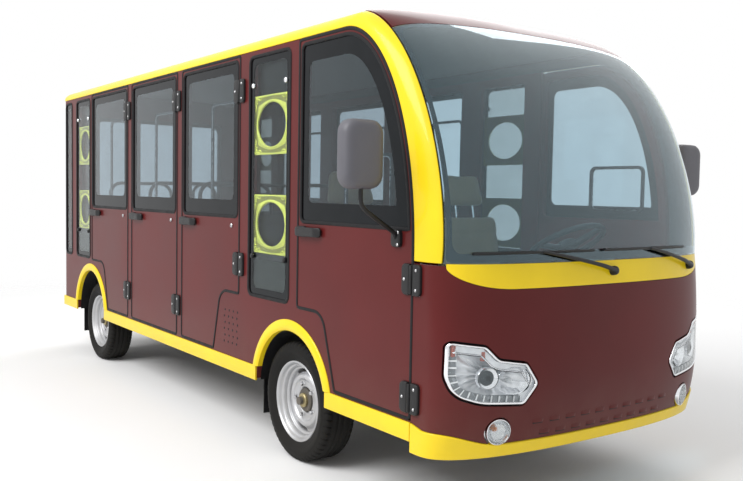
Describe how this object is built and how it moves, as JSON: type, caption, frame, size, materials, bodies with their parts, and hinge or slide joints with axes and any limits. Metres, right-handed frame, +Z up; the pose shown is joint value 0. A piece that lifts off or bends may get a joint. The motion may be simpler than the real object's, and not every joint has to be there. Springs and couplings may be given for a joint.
{
  "type": "electric sightseeing shuttle bus",
  "caption": "Small low-floor electric sightseeing bus with a large curved windscreen, side-hinged doors, ornament panels in fixed windows and bench seats.",
  "frame": {"origin": "on the ground under the middle of the bounding box", "axes": "+X forward, +Y to the left of the vehicle, +Z up"},
  "size_m": [4.5998, 2.07, 1.965],
  "materials": {
    "body_paint": "gloss",
    "trim_paint": "gloss",
    "dark_glass": "tinted",
    "black_plastic": "satin",
    "grey_plastic": "satin",
    "chassis_steel": "satin black",
    "floor_cover": "matt",
    "battery_case": "satin",
    "wheel_steel": "silver",
    "tyre": "matt",
    "flap": "matt",
    "lamp_lens": "clear",
    "lamp_body": "moulded",
    "tail_lens": "red",
    "ornament": "gloss",
    "seat_cover": "padded",
    "seat_base": "satin"
  },
  "bodies": {
    "body": {"chassis_frame": "chassis_steel", "floor_pan": "floor_cover", "battery_pack": "battery_case", "front_axle": "chassis_steel", "rear_axle": "chassis_steel", "leaf_springs": "chassis_steel", "side_frame_right": "body_paint", "side_frame_left": "body_paint", "roof_panel": "body_paint", "pillar_hoop": "trim_paint", "front_cowl": "body_paint", "scuttle_panel": "trim_paint", "front_bumper": "trim_paint", "sill_trim": "trim_paint", "windscreen": "dark_glass", "rear_wall": "body_paint", "fixed_glass": "dark_glass", "decor_panels": "ornament", "headlamp_housings": "lamp_body", "headlamp_lenses": "lamp_lens", "fog_lamps": "lamp_lens", "tail_lamps": "tail_lens", "wipers": "black_plastic", "dashboard": "grey_plastic", "steering_wheel": "black_plastic", "seat_cushions": "seat_cover", "seat_backs": "seat_cover", "seat_frames": "seat_base", "mudflaps": "flap", "hinge_mounts": "black_plastic"},
    "door_1": {"door_1_panel": "body_paint", "door_1_glass": "dark_glass", "door_1_hardware": "black_plastic", "mirror_right": "grey_plastic"},
    "door_2": {"door_2_panel": "body_paint", "door_2_glass": "dark_glass", "door_2_hardware": "black_plastic"},
    "door_3": {"door_3_panel": "body_paint", "door_3_glass": "dark_glass", "door_3_hardware": "black_plastic"},
    "door_4": {"door_4_panel": "body_paint", "door_4_glass": "dark_glass", "door_4_hardware": "black_plastic"},
    "driver_door": {"driver_door_panel": "body_paint", "driver_door_glass": "dark_glass", "driver_door_hardware": "black_plastic", "mirror_left": "grey_plastic"},
    "knuckle_right": {"knuckle_right": "chassis_steel"},
    "knuckle_left": {"knuckle_left": "chassis_steel"},
    "wheel_front_right": {"rim_front_right": "wheel_steel", "tyre_front_right": "tyre"},
    "wheel_front_left": {"rim_front_left": "wheel_steel", "tyre_front_left": "tyre"},
    "wheel_rear_right": {"rim_rear_right": "wheel_steel", "tyre_rear_right": "tyre"},
    "wheel_rear_left": {"rim_rear_left": "wheel_steel", "tyre_rear_left": "tyre"}
  },
  "joints": [
    {"name": "door_1_hinge", "type": "hinge", "parent": "body", "child": "door_1", "pos_m": [2.013, -0.769, 0.9], "axis": [0, 0, 1], "range_deg": [0, 70]},
    {"name": "door_2_hinge", "type": "hinge", "parent": "body", "child": "door_2", "pos_m": [0.644, -0.769, 0.9], "axis": [0, 0, 1], "range_deg": [0, 75]},
    {"name": "door_3_hinge", "type": "hinge", "parent": "body", "child": "door_3", "pos_m": [-0.12538, -0.769, 0.9], "axis": [0, 0, 1], "range_deg": [0, 75]},
    {"name": "door_4_hinge", "type": "hinge", "parent": "body", "child": "door_4", "pos_m": [-0.91606, -0.769, 0.9], "axis": [0, 0, 1], "range_deg": [0, 75]},
    {"name": "driver_door_hinge", "type": "hinge", "parent": "body", "child": "driver_door", "pos_m": [2.013, 0.769, 0.9], "axis": [0, 0, -1], "range_deg": [0, 70]},
    {"name": "steer_left", "type": "hinge", "parent": "body", "child": "knuckle_left", "pos_m": [1.14, 0.616, 0.268], "axis": [0, 0, 1], "range_deg": [-28, 28]},
    {"name": "steer_right", "type": "hinge", "parent": "body", "child": "knuckle_right", "pos_m": [1.14, -0.616, 0.268], "axis": [0, 0, 1], "range_deg": [-28, 28]},
    {"name": "wheel_front_right_spin", "type": "hinge", "parent": "knuckle_right", "child": "wheel_front_right", "pos_m": [1.14, -0.6515, 0.268], "axis": [0, 1, 0], "continuous": true},
    {"name": "wheel_front_left_spin", "type": "hinge", "parent": "knuckle_left", "child": "wheel_front_left", "pos_m": [1.14, 0.6515, 0.268], "axis": [0, 1, 0], "continuous": true},
    {"name": "wheel_rear_right_spin", "type": "hinge", "parent": "body", "child": "wheel_rear_right", "pos_m": [-1.59, -0.6515, 0.268], "axis": [0, 1, 0], "continuous": true},
    {"name": "wheel_rear_left_spin", "type": "hinge", "parent": "body", "child": "wheel_rear_left", "pos_m": [-1.59, 0.6515, 0.268], "axis": [0, 1, 0], "continuous": true}
  ],
  "couplings": [
    {"joint": "steer_right", "follows": "steer_left", "ratio": 1}
  ]
}
